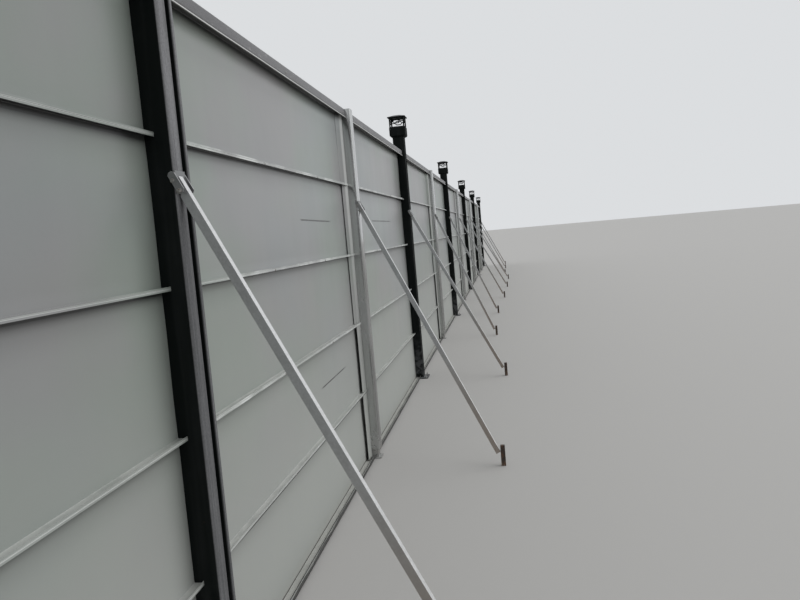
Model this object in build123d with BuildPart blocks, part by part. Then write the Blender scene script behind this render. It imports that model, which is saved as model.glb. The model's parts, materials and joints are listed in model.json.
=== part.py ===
from build123d import *
import os
from math import atan2, degrees, dist

# Windbreak fence of folded steel pan boards between capped box posts, braced to stakes.
# Millimetres. +X runs along the fence, -Y is the braced side, +Z is up, the ground is Z = 0.
# The origin is the middle of the underside of the middle main post's base plate.

# Run and heights
bay_count = 6
bay_length = 6000.0
rail_top_height = 2500.0
base_plate_thickness = 10.0

# Main posts, slotted along the braced face
post_width = 130.0
post_depth = 120.0
post_wall = 4.0
slot_width = 24.0
slot_lip = 24.0
slot_curl_radius = 16.0
slot_return_depth = 16.0
shaft_above_rail = 145.0
base_plate_side = 220.0
anchor_spacing = 170.0
anchor_hole_radius = 7.0

# Cap: block, pierced lantern and roof
block_side = 172.0
block_height = 107.0
block_chamfer = 16.0
block_shoulder = 4.0
lantern_side = 164.0
lantern_height = 100.0
lantern_wall = 5.0
lantern_corner = 14.0
window_sill = 6.0
window_head = 8.0
window_bracket = 20.0
fret_bar = 9.0
medallion_above_block = 60.0
medallion_width = 96.0
medallion_height = 46.0
medallion_flat = 44.0
medallion_rim = 9.0
roof_side = 192.0
roof_plate_height = 10.0
roof_pyramid_height = 20.0
roof_pyramid_taper = 73.0

# Pan boards, five to a panel
board_count = 5
board_sheet = 2.0
rib_depth = 33.0
rib_lip = 7.0
board_seam = 0.5
sheet_behind_front = 85.0
hook_width = 100.0
hook_depth = 30.0

# Top rail, open below, and bottom track, open above
rail_height = 60.0
rail_wall = 3.0
rail_reach = 54.0
rail_hem = 5.0
rail_play = 0.5
board_in_rail = 27.0
track_height = 22.0
track_wall = 2.0
end_gap = 0.5

# Intermediate posts
mid_post_width = 92.0
mid_post_depth = 93.0
mid_post_wall = 3.0
mid_post_foot_height = 60.0
mid_post_foot_side = 60.0
mid_plate_side = 100.0

# Braces: heights and reaches of the middle of the upper face
brace_side = 30.0
brace_wall = 2.5
brace_head_height = 1800.0
brace_head_reach = 25.0
brace_foot_height = 95.0
brace_play = 0.5

# Saddle brackets: a web across the post's front and two slanted ears that lap its sides
saddle_plate = 4.0
saddle_width_on_main = 75.0
web_height = 42.0
ear_length = 76.0
ear_width = 25.0
ear_bevel = 7.0
ear_above_head = 20.0
ear_middle_reach = 4.0

# Stakes, and where each was driven: its shift along the fence from the head of its brace, and
# its reach out from the face of the wall, from one end of the run to the other
stake_side = 30.0
stake_height = 139.0
stakes_as_driven = [
    (-32.5, 950), (-40, 960), (-32.5, 975), (-330, 976), (-162.5, 992), (-20, 851), (-72.5, 846),
    (-50, 952), (-42.5, 1017), (-100, 1051), (-22.5, 950), (-60, 960), (-22.5, 950),
]

half_bay = bay_length / 2
post_front = -post_depth / 2
sheet_front = post_front + sheet_behind_front
board_back = sheet_front + board_sheet
board_bottom = base_plate_thickness + track_wall
board_top = rail_top_height - rail_height + board_in_rail
board_pitch = (board_top - board_bottom) / board_count
post_top = rail_top_height + shaft_above_rail
fence_start = -bay_count * bay_length / 2
main_places = [fence_start + bay_length * n for n in range(bay_count + 1)]
mid_places = [fence_start + bay_length * n + half_bay for n in range(bay_count)]
mid_front = board_back - mid_post_depth
mid_post_y = mid_front + mid_post_depth / 2
panel_length = half_bay - post_width / 2 - mid_post_width / 2 - 2 * end_gap
panel_offset = post_width / 2 + end_gap + panel_length / 2

os.makedirs("parts", exist_ok=True)


# A copy of one piece for each place along the fence, every copy in a node of its own
def write_copies(piece, name, places):
    for number, x in enumerate(places, start=1):
        with BuildPart() as copy:
            with Locations((x, 0, 0)):
                add(piece)
        copy.part.label = f"{name}_{number}"
        export_step(copy.part, f"parts/{name}_{number}.step")


# Copies of one piece in one node, as solids that stand apart
def write_row(piece, name, places):
    with BuildPart() as row:
        with Locations(*[(x, 0, 0) for x in places]):
            add(piece)
    row.part.label = name
    export_step(row.part, f"parts/{name}.step")


# Main post: a cold-formed box with an off-centre slot down its front. The wide strip beside
# the slot curls inwards in a quarter round, and the narrow one ends in a square return.
slot_end = post_width / 2 - slot_lip
slot_start = slot_end - slot_width
curl_start = slot_start - slot_curl_radius
with BuildPart() as main_post:
    with BuildSketch(Plane.XY.offset(base_plate_thickness)):
        Rectangle(post_width, post_depth)
        Rectangle(post_width - 2 * post_wall, post_depth - 2 * post_wall, mode=Mode.SUBTRACT)
        with Locations((curl_start, post_front)):
            Rectangle(slot_end - curl_start, post_wall, align=Align.MIN, mode=Mode.SUBTRACT)
        with BuildLine():
            curl_centre = (curl_start, post_front + slot_curl_radius)
            outer = CenterArc(curl_centre, slot_curl_radius, -90, 90)
            inner = CenterArc(curl_centre, slot_curl_radius - post_wall, -90, 90)
            Line(outer @ 0, inner @ 0)
            Line(outer @ 1, inner @ 1)
        make_face()
        with Locations((slot_end, post_front)):
            Rectangle(post_wall, slot_return_depth, align=Align.MIN)
    extrude(amount=post_top - base_plate_thickness)
write_copies(main_post.part, "main_post", main_places)

# Base plates, welded under the main posts, with four anchor holes each
with BuildPart() as base_plate:
    with BuildSketch(Plane.XY):
        Rectangle(base_plate_side, base_plate_side)
        with GridLocations(anchor_spacing, anchor_spacing, 2, 2):
            Circle(anchor_hole_radius, mode=Mode.SUBTRACT)
    extrude(amount=base_plate_thickness)
write_row(base_plate.part, "base_plates", main_places)


# A flat hexagon with its points at the two sides
def hexagon(width, height, flat, mode):
    Polygon((-width / 2, 0), (-flat / 2, -height / 2), (flat / 2, -height / 2),
            (width / 2, 0), (flat / 2, height / 2), (-flat / 2, height / 2), mode=mode)


# Post cap: a chamfered block, a four-sided lantern and an overhanging roof. Each side of the
# lantern is a window with bevelled upper corners. Its fret is a hexagonal medallion on two
# arms, hung from the roof by a short bar.
lantern_bottom = post_top + block_height
lantern_top = lantern_bottom + lantern_height
window_width = lantern_side - 2 * lantern_corner
window_bottom = lantern_bottom + window_sill
window_top = lantern_top - window_head
window_height = window_top - window_bottom
medallion_middle = lantern_bottom + medallion_above_block
with BuildPart() as post_cap:
    with BuildSketch(Plane.XY.offset(post_top)):
        Rectangle(block_side, block_side)
    extrude(amount=block_height)
    chamfer(post_cap.faces().sort_by(Axis.Z)[0].edges(), length=block_chamfer)
    chamfer(post_cap.faces().sort_by(Axis.Z)[-1].edges(), length=block_shoulder)
    with BuildSketch(Plane.XY.offset(lantern_bottom)):
        Rectangle(lantern_side, lantern_side)
        Rectangle(lantern_side - 2 * lantern_wall, lantern_side - 2 * lantern_wall, mode=Mode.SUBTRACT)
    extrude(amount=lantern_height)
    for window_plane in (Plane.XZ, Plane.YZ):
        with BuildSketch(window_plane):
            with Locations((0, window_bottom + window_height / 2)):
                window = Rectangle(window_width, window_height)
            chamfer(window.vertices().group_by(Axis.Y)[-1], length=window_bracket)
            with Locations((0, medallion_middle)):
                Rectangle(window_width, fret_bar, mode=Mode.SUBTRACT)
                hexagon(medallion_width, medallion_height, medallion_flat, Mode.SUBTRACT)
            with Locations((0, window_top)):
                Rectangle(fret_bar, window_top - medallion_middle, align=(Align.CENTER, Align.MAX),
                          mode=Mode.SUBTRACT)
            with Locations((0, medallion_middle)):
                hexagon(medallion_width - 3 * medallion_rim, medallion_height - 2 * medallion_rim,
                        medallion_flat - medallion_rim, Mode.ADD)
        extrude(amount=lantern_side, both=True, mode=Mode.SUBTRACT)
    with BuildSketch(Plane.XY.offset(lantern_top)):
        Rectangle(roof_side, roof_side)
    extrude(amount=roof_plate_height)
    with BuildSketch(Plane.XY.offset(lantern_top + roof_plate_height)):
        Rectangle(roof_side, roof_side)
    extrude(amount=roof_pyramid_height, taper=roof_pyramid_taper)
write_copies(post_cap.part, "post_cap", main_places)

# Intermediate post: a closed box that stands on a foot
mid_bottom = base_plate_thickness + mid_post_foot_height
with BuildPart() as mid_post:
    with BuildSketch(Plane((0, mid_post_y, mid_bottom))):
        Rectangle(mid_post_width, mid_post_depth)
    extrude(amount=rail_top_height - mid_bottom)
    with BuildSketch(Plane((0, mid_post_y, mid_bottom + mid_post_wall))):
        Rectangle(mid_post_width - 2 * mid_post_wall, mid_post_depth - 2 * mid_post_wall)
    extrude(amount=rail_top_height - mid_bottom - 2 * mid_post_wall, mode=Mode.SUBTRACT)
write_copies(mid_post.part, "intermediate_post", mid_places)

# Feet of the intermediate posts: a short stub on a plate
with BuildPart() as foot:
    with BuildSketch(Plane((0, mid_post_y, 0))):
        Rectangle(mid_plate_side, mid_plate_side)
    extrude(amount=base_plate_thickness)
    with BuildSketch(Plane((0, mid_post_y, base_plate_thickness))):
        Rectangle(mid_post_foot_side, mid_post_foot_side)
    extrude(amount=mid_post_foot_height)
write_row(foot.part, "intermediate_feet", mid_places)


# Wall panel: pan boards with lipped flanges. At the intermediate post each board's sheet folds
# forwards and back over itself, in a hook that is open away from the post. The hook is at the
# panel's +X end, or at its -X end for a panel that is mirrored.
board_height = board_pitch - board_seam
pan_depth = rib_depth + board_sheet
pan_middle = board_back - pan_depth / 2
with BuildPart() as board:
    with BuildSketch(Plane.YZ.offset(-panel_length / 2)):
        with Locations((pan_middle, board_height / 2)):
            Rectangle(pan_depth, board_height)
            Rectangle(pan_depth - 2 * board_sheet, board_height - 2 * board_sheet, mode=Mode.SUBTRACT)
        with Locations((sheet_front - rib_depth + board_sheet / 2, board_height / 2)):
            Rectangle(board_sheet, board_height - 2 * rib_lip, mode=Mode.SUBTRACT)
    extrude(amount=panel_length)
    hook_front = sheet_front - hook_depth
    with BuildSketch(Plane.XY.offset(board_sheet)):
        with Locations((panel_length / 2, hook_front)):
            Rectangle(hook_width, board_sheet, align=(Align.MAX, Align.MIN))
            Rectangle(board_sheet, hook_depth, align=(Align.MAX, Align.MIN))
    extrude(amount=board_height - 2 * board_sheet)

board_levels = [board_bottom + board_seam / 2 + board_pitch * n for n in range(board_count)]
with BuildPart() as panel:
    with Locations(*[(panel_offset, 0, level) for level in board_levels]):
        add(board.part)
with BuildPart() as mirrored_panel:
    mirror(panel.part, about=Plane.YZ)
for number, x in enumerate(mid_places, start=1):
    for side, half_panel, post_x in (("a", panel, x - half_bay), ("b", mirrored_panel, x + half_bay)):
        with BuildPart() as copy:
            with Locations((post_x, 0, 0)):
                add(half_panel.part)
        copy.part.label = f"wall_panel_{number}{side}"
        export_step(copy.part, f"parts/wall_panel_{number}{side}.step")

# Top rail: an inverted channel over the boards' upper edge, with a hem along its front edge
rail_back = board_back + rail_play + rail_wall
rail_front = sheet_front - rail_reach
rail_depth = rail_back - rail_front
rail_bottom = rail_top_height - rail_height
with BuildPart() as rail:
    with BuildSketch(Plane.YZ.offset(panel_offset - panel_length / 2)):
        with Locations((rail_front, rail_bottom)):
            Rectangle(rail_depth, rail_height, align=Align.MIN)
        with Locations((rail_front + rail_wall, rail_bottom)):
            Rectangle(rail_depth - 2 * rail_wall, rail_height - rail_wall, align=Align.MIN, mode=Mode.SUBTRACT)
        with Locations((rail_front - rail_hem, rail_bottom)):
            Rectangle(rail_hem, rail_hem, align=Align.MIN)
    extrude(amount=panel_length)

# Bottom track: a shallow channel that the boards stand in, carried by the plates at its ends
with BuildPart() as track:
    with BuildSketch(Plane.YZ.offset(panel_offset - panel_length / 2)):
        with Locations((rail_front, base_plate_thickness)):
            Rectangle(rail_depth, track_height, align=Align.MIN)
        with Locations((rail_front + track_wall, board_bottom)):
            Rectangle(rail_depth - 2 * track_wall, track_height, align=Align.MIN, mode=Mode.SUBTRACT)
    extrude(amount=panel_length)
half_shift = half_bay - post_width / 2 + mid_post_width / 2
for number, x in enumerate(mid_places, start=1):
    with BuildPart() as top_rail:
        with Locations((x - half_bay, 0, 0), (x - half_bay + half_shift, 0, 0)):
            add(rail.part)
    top_rail.part.label = f"top_rail_{number}"
    export_step(top_rail.part, f"parts/top_rail_{number}.step")
track_places = [x - half_bay + shift for x in mid_places for shift in (0, half_shift)]
write_row(track.part, "bottom_channels", track_places)

# The line of each brace's upper face, from where it meets the stake to the head height
stake_places = []
brace_feet = []
brace_heads = []
for number, x in enumerate(sorted(main_places + mid_places)):
    shift, reach = stakes_as_driven[number % len(stakes_as_driven)]
    stake_y = sheet_front - reach
    if x in main_places:
        head_x = x + (saddle_width_on_main - post_width) / 2
        front = post_front
    else:
        head_x = x
        front = mid_front
    stake_places.append((head_x + shift, stake_y))
    brace_feet.append((head_x + shift, stake_y + stake_side / 2 + brace_play, brace_foot_height))
    brace_heads.append((head_x, front - brace_head_reach, brace_head_height))

# Stakes in the ground, with the lower end of each brace resting against one
with BuildPart() as stakes:
    with BuildSketch(Plane.XY):
        with Locations(*stake_places):
            Rectangle(stake_side, stake_side)
    extrude(amount=stake_height)
stakes.part.label = "ground_stakes"
export_step(stakes.part, "parts/ground_stakes.step")


# Brace: a square tube under the line of its upper face, cut square at its foot, trimmed where
# its foot meets the stake, and cut upright where its head meets the saddle's web
def brace_tube(foot, head):
    run = head[1] - foot[1]
    length = dist(head, foot)
    face_line = Plane(foot, x_dir=(1, 0, 0), z_dir=[top - low for top, low in zip(head, foot)])
    web_face = head[1] + brace_head_reach - saddle_plate - brace_play
    with BuildPart() as tube:
        with BuildSketch(face_line):
            with Locations((0, brace_side / 2)):
                Rectangle(brace_side, brace_side)
                Rectangle(brace_side - 2 * brace_wall, brace_side - 2 * brace_wall, mode=Mode.SUBTRACT)
        extrude(amount=length * (1 + brace_head_reach / run))
        split(bisect_by=Plane((0, foot[1], 0), z_dir=(0, 1, 0)), keep=Keep.TOP)
        split(bisect_by=Plane((0, web_face, 0), z_dir=(0, -1, 0)), keep=Keep.TOP)
    return tube.part


with BuildPart() as braces:
    for foot, head in zip(brace_feet, brace_heads):
        add(brace_tube(foot, head))
braces.part.label = "braces"
export_step(braces.part, "parts/braces.step")

# Saddle bracket: the near ear laps the post's near side, and so does the far one where the
# saddle is as wide as the post
brace_rise = brace_head_height - brace_foot_height
brace_run = stakes_as_driven[0][1] - sheet_behind_front
ear_slope = degrees(atan2(brace_rise, brace_run)) - 90
ear_middle_height = brace_head_height + ear_above_head


def saddle(post_side, width, front):
    near = -post_side / 2
    with BuildPart() as bracket:
        for ear_x in (near - saddle_plate, near + width):
            with BuildSketch(Plane.YZ.offset(ear_x)):
                with Locations((front - ear_middle_reach, ear_middle_height)):
                    ear = Rectangle(ear_width, ear_length, rotation=ear_slope)
                chamfer(ear.vertices(), length=ear_bevel)
            extrude(amount=saddle_plate)
        with BuildSketch(Plane.XY.offset(ear_middle_height - ear_length / 2)):
            with Locations((near, front)):
                Rectangle(post_side, post_side, align=Align.MIN)
        extrude(amount=ear_length, mode=Mode.SUBTRACT)
        with BuildSketch(Plane.XY.offset(ear_middle_height + ear_length / 2 - web_height)):
            with Locations((near, front)):
                Rectangle(width, saddle_plate, align=(Align.MIN, Align.MAX))
        extrude(amount=web_height)
    return bracket.part


with BuildPart() as saddles:
    for post_side, width, front, places in (
        (post_width, saddle_width_on_main, post_front, main_places),
        (mid_post_width, mid_post_width, mid_front, mid_places),
    ):
        with Locations(*[(x, 0, 0) for x in places]):
            add(saddle(post_side, width, front))
saddles.part.label = "brace_brackets"
export_step(saddles.part, "parts/brace_brackets.step")
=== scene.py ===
import json
import math

import bpy
import numpy as np
from mathutils import Matrix, Vector


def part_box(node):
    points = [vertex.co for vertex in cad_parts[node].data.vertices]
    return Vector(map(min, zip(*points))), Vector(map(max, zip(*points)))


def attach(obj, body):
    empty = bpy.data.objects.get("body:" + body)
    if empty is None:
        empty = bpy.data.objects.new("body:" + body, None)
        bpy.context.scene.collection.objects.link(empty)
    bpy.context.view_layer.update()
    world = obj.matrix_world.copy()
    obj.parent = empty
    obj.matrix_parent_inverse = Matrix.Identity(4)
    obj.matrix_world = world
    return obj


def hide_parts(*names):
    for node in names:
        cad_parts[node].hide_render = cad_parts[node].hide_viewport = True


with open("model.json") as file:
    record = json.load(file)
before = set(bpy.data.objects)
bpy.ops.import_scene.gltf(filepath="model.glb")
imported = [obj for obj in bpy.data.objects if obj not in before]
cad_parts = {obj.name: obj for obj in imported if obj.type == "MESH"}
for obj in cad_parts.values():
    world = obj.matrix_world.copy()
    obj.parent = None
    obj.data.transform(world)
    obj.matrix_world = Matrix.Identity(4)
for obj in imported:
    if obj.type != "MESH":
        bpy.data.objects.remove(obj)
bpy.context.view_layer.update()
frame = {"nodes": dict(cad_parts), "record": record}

# Metres throughout. +X runs along the fence, -Y is the braced side, +Z is up.

# Sizes of the stock, which the frame's boxes don't give
POST_WALL = 0.004
POST_CORNER = 0.006
SLOT_WIDTH = 0.024
SLOT_LIP = 0.024
SLOT_CURL = 0.016
SLOT_RETURN = 0.016
SLOT_FOLD = 0.003
LEAST_RUN = 0.0001
BOARD_COUNT = 5
BOARD_SHEET_IN_FRAME = 0.002
BOARD_SHEET = 0.0012
BOARD_SEAM = 0.0005
BOARD_TOUCH = 0.0002
BOARD_FOLD = 0.003
LIP_FOLD = 0.0007
RIB_DEPTH = 0.033
RIB_LIP = 0.007
HOOK_WIDTH = 0.100
HOOK_DEPTH = 0.030
HOOK_FOLD = 0.004
RAIL_WALL = 0.002
RAIL_FOLD = 0.004
RAIL_HEM = 0.005
HEM_FOLD = 0.0015
TRACK_WALL = 0.002
TRACK_FOLD = 0.003
MID_POST_WALL = 0.003
MID_POST_CORNER = 0.005
LID_CLEARANCE = 0.0005

# Places and sizes of the hardware
ANCHOR_SPACING = 0.170
FOOT_BOLT_REACH = 0.040
SADDLE_PLATE = 0.004
SADDLE_WIDTH_ON_MAIN = 0.075
SADDLE_SCREW_HEIGHT = 1.826
SADDLE_SCREW_BEHIND_FRONT = 0.006
PIN_HEIGHT = 1.792
PIN_REACH = 0.0125
PIN_RADIUS = 0.004
PIN_PAST_SADDLE = 0.012
RIB_SCREW_STEP = 1.0
RAIL_SCREW_INSET = 0.05
WELD_RADIUS = 0.0035
WELD_STEP = 0.0035

# Unevenness: how far each board's hook is closed, lowest first, what chance adds, and the sheets' waves
HOOK_CLOSED = (0.20, 0.28, 0.70, 0.66, 1.0)
HOOK_SPREAD = 0.12
BUCKLE = 0.0016
BUCKLE_WAVES = 4
FLANGE_SPRING = 0.0004
RAIL_WAVE = 0.0009
RAIL_SEED = 700
TRACK_WAVE = 0.0012
TRACK_SEED = 300

# Sections along a sheet, between which it can bend
BOARD_SECTIONS = 41
HOOK_SECTIONS = 5
RAIL_SECTIONS = 49
TRACK_SECTIONS = 61
MAIN_POST_SECTIONS = 9
MID_POST_SECTIONS = 13

# Places and sizes read from the frame
NODES = frame["nodes"]
POST_COUNT = len([name for name in NODES if name.startswith("main_post_")])
BAY_COUNT = POST_COUNT - 1


def middle(node, axis):
    low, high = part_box(node)
    return (low[axis] + high[axis]) / 2


def row_boxes(node):
    """Boxes of a row's solids: its points in order of X, cut where X jumps by over half a metre."""
    mesh = NODES[node].data
    points = np.empty(len(mesh.vertices) * 3)
    mesh.vertices.foreach_get("co", points)
    points = points.reshape(-1, 3)
    points = points[np.argsort(points[:, 0])]
    cuts = np.flatnonzero(np.diff(points[:, 0]) > 0.5) + 1
    return [(group.min(axis=0), group.max(axis=0)) for group in np.split(points, cuts)]


main_x = [middle(f"main_post_{n}", 0) for n in range(1, POST_COUNT + 1)]
mid_x = [middle(f"intermediate_post_{n}", 0) for n in range(1, BAY_COUNT + 1)]
half_bay = mid_x[0] - main_x[0]
post_low, post_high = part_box("main_post_1")
post_half = (post_high[0] - post_low[0]) / 2
post_front = post_low[1]
post_back = post_high[1]
mid_low, mid_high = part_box("intermediate_post_1")
mid_half = (mid_high[0] - mid_low[0]) / 2
mid_front = mid_low[1]
board_low, board_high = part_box("wall_panel_1a")
sheet_back = board_high[1]
sheet_front = sheet_back - BOARD_SHEET_IN_FRAME
board_bottom = board_low[2]
board_pitch = (board_high[2] - board_low[2] + BOARD_SEAM) / BOARD_COUNT
board_height = board_pitch - BOARD_SEAM
rail_low, rail_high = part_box("top_rail_1")
rail_front = rail_low[1] + RAIL_HEM
slot_middle = post_half - SLOT_LIP - SLOT_WIDTH / 2
track_low, track_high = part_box("bottom_channels")
plate_top = track_low[2]


# Shapes: arrays of points and of faces, gathered into one mesh for each piece
class Shape:
    """Closed shells of points and faces, gathered into one mesh."""

    def __init__(self):
        self.points = []
        self.faces = {}
        self.total = 0

    def add(self, points, *face_sets):
        """Adds one closed shell, with its faces turned outwards.

        The volume inside is the sum of p0 . (p1 x p2) / 6 over a fan of triangles on each face. Where
        it comes out negative the faces look inwards, and their corners are taken in reverse order."""
        volume = 0.0
        for faces in face_sets:
            for n in range(1, faces.shape[1] - 1):
                first, second, third = points[faces[:, 0]], points[faces[:, n]], points[faces[:, n + 1]]
                volume += (first * np.cross(second, third)).sum() / 6
        for faces in face_sets:
            kept = self.faces.setdefault(faces.shape[1], [])
            kept.append((faces if volume > 0 else faces[:, ::-1]) + self.total)
        self.points.append(points)
        self.total += len(points)

    def make(self, name, slot, finish, *replaced, smooth):
        """Makes the piece from its shells. Edges that turn by more than the smooth angle, in degrees,
        stay sharp."""
        mesh = bpy.data.meshes.new(name)
        points = np.concatenate(self.points)
        loops = [np.concatenate(kept) for kept in self.faces.values()]
        sides = np.concatenate([np.full(len(faces), faces.shape[1]) for faces in loops])
        mesh.vertices.add(len(points))
        mesh.vertices.foreach_set("co", points.ravel())
        mesh.loops.add(int(sides.sum()))
        mesh.loops.foreach_set("vertex_index", np.concatenate([faces.ravel() for faces in loops]))
        mesh.polygons.add(len(sides))
        mesh.polygons.foreach_set("loop_start", np.concatenate([[0], np.cumsum(sides)[:-1]]))
        mesh.update(calc_edges=True)
        mesh.validate()
        mesh.shade_smooth()
        mesh.set_sharp_from_angle(angle=math.radians(smooth))
        piece = bpy.data.objects.new(name, mesh)
        bpy.context.scene.collection.objects.link(piece)
        piece.data.materials.append(finish)
        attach(piece, "root")
        if replaced:
            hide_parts(*replaced)


def rounded(corners, radii, closed=False, steps=4):
    """A line through corners, with each corner turned by an arc that is tangent to both its sides.

    The arc starts before the corner by the radius times the tangent of half the turn. From there a
    point lies along the first side by the radius times the sine of the angle turned so far, and
    inwards from it by the radius times one minus the cosine."""
    corners = [np.array(c, float) for c in corners]
    count = len(corners)
    line = []
    for n, corner in enumerate(corners):
        if not closed and n in (0, count - 1):
            line.append(corner[None])
            continue
        before = corner - corners[n - 1]
        after = corners[(n + 1) % count] - corner
        before /= np.linalg.norm(before)
        after /= np.linalg.norm(after)
        turn = math.acos(float(np.clip(before @ after, -1, 1)))
        radius = radii if np.isscalar(radii) else radii[n]
        start = corner - before * radius * math.tan(turn / 2)
        inward = after - before * (before @ after)
        inward /= np.linalg.norm(inward)
        angle = np.linspace(0, turn, steps + 1)[:, None]
        line.append(start + radius * (np.sin(angle) * before + (1 - np.cos(angle)) * inward))
    return np.concatenate(line)


def divided(line, longest):
    """The same line with points added evenly on every run that is longer than the length given."""
    lengths = np.linalg.norm(np.diff(line, axis=0), axis=1)
    parts = np.maximum(1, np.ceil(lengths / longest).astype(int))
    pieces = [line[n] + (line[n + 1] - line[n]) * np.arange(k)[:, None] / k for n, k in enumerate(parts)]
    return np.concatenate(pieces + [line[-1:]])


def two_sides(line, wall, closed=False):
    """The line moved half a wall to its left and to its right, along the mean normal of its runs."""
    if closed:
        run = np.roll(line, -1, axis=0) - line
        back = np.roll(run, 1, axis=0)
    else:
        run = np.diff(line, axis=0, append=line[-1:] * 2 - line[-2:-1])
        back = np.concatenate([run[:1], run[:-1]])
    run = run / np.linalg.norm(run, axis=1)[:, None]
    back = back / np.linalg.norm(back, axis=1)[:, None]
    tangent = run + back
    tangent /= np.linalg.norm(tangent, axis=1)[:, None]
    normal = np.stack([-tangent[:, 1], tangent[:, 0]], axis=1)
    stretch = 1 / np.clip((normal * np.stack([-run[:, 1], run[:, 0]], axis=1)).sum(axis=1), 0.5, 1)
    shift = normal * (stretch * wall / 2)[:, None]
    return line + shift, line - shift


def grid_faces(rows, ring):
    """Quads between neighbouring rows of a grid of points, all round the ring."""
    row, place = np.meshgrid(np.arange(rows - 1), np.arange(ring), indexing="ij")
    nxt = (place + 1) % ring
    quads = [row * ring + place, row * ring + nxt, (row + 1) * ring + nxt, (row + 1) * ring + place]
    return np.stack(quads, axis=-1).reshape(-1, 4)


def folded_sheet(line, wall, stations, run_axis, closed=False):
    """A folded sheet: its section, carried to every station as one row of a grid of points.

    The section of an open line is one ring, half a wall to its right and then back along its left. That
    of a closed line is two rings, the outer and the inner one. The run axis is 0 for a section in Y
    and Z, and 2 for one in X and Y."""
    left, right = two_sides(line, wall, closed)
    count = len(line)
    other = [axis for axis in range(3) if axis != run_axis]
    rows = len(stations)
    if closed:
        points = np.empty((2, rows, count, 3))
        for side, ring in enumerate((right, left)):
            points[side, :, :, run_axis] = stations[:, None]
            points[side][:, :, other] = ring[None]
        outer = grid_faces(rows, count)
        inner = outer[:, ::-1] + rows * count
        place = np.arange(count)
        nxt = (place + 1) % count
        start = np.stack([place, place + rows * count, nxt + rows * count, nxt], axis=1)
        end = (start + (rows - 1) * count)[:, ::-1]
        return points.reshape(-1, 3), np.concatenate([outer, inner, start, end])
    ring = np.concatenate([right, left[::-1]])
    size = 2 * count
    points = np.empty((rows, size, 3))
    points[:, :, run_axis] = stations[:, None]
    points[:, :, other] = ring[None]
    place = np.arange(count - 1)
    start = np.stack([place + 1, place, size - 1 - place, size - 2 - place], axis=1)
    end = (start + (rows - 1) * size)[:, ::-1]
    return points.reshape(-1, 3), np.concatenate([grid_faces(rows, size), start, end])


def turned(profile, sides):
    """A profile of radius and height pairs turned about +Z, closed with a flat face at each end."""
    angle = np.arange(sides) * 2 * math.pi / sides
    radius, height = np.array(profile, float).T
    points = np.stack([radius[:, None] * np.cos(angle), radius[:, None] * np.sin(angle),
                       np.repeat(height[:, None], sides, axis=1)], axis=-1).reshape(-1, 3)
    top = np.arange(sides)[None] + (len(profile) - 1) * sides
    return points, grid_faces(len(profile), sides), np.arange(sides)[None, ::-1], top


def aimed(points, towards):
    """Points whose +Z is turned to the direction given, which is one of the axes."""
    turn = Vector((0, 0, 1)).rotation_difference(Vector(towards)).to_matrix()
    return points @ np.array(turn).T


def at_places(target, shape, places, towards):
    """Adds a copy of one small shape at every place, with its +Z towards a direction."""
    points, *face_sets = shape
    points = aimed(points, towards)
    for place in places:
        target.add(points + np.array(place), *face_sets)


def slab(ring, low, high):
    """A flat plate with a ring's outline, from one height to the other."""
    count = len(ring)
    points = np.concatenate([np.column_stack([ring, np.full(count, height)]) for height in (low, high)])
    place = np.arange(count)[None]
    return points, grid_faces(2, count), place[:, ::-1], place + count


# Materials: a socket with arithmetic, and one method for every other node
class Field:
    def __init__(self, tree, link):
        self.tree = tree
        self.link = link

    def math(self, operation, *values):
        node = self.tree.nodes.new("ShaderNodeMath")
        node.operation = operation
        for socket, value in zip(node.inputs, values):
            if isinstance(value, Field):
                self.tree.links.new(value.link, socket)
            else:
                socket.default_value = value
        return Field(self.tree, node.outputs[0])

    def __add__(self, other):
        return self.math("ADD", self, other)

    __radd__ = __add__

    def __mul__(self, other):
        return self.math("MULTIPLY", self, other)

    __rmul__ = __mul__

    def __sub__(self, other):
        return self.math("SUBTRACT", self, other)

    def __rsub__(self, other):
        return self.math("SUBTRACT", other, self)

    def __truediv__(self, other):
        return self.math("DIVIDE", self, other)

    def __abs__(self):
        return self.math("ABSOLUTE", self)

    def least(self, other):
        return self.math("MINIMUM", self, other)

    def wrap(self, low, high):
        return self.math("WRAP", self, high, low)


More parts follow.
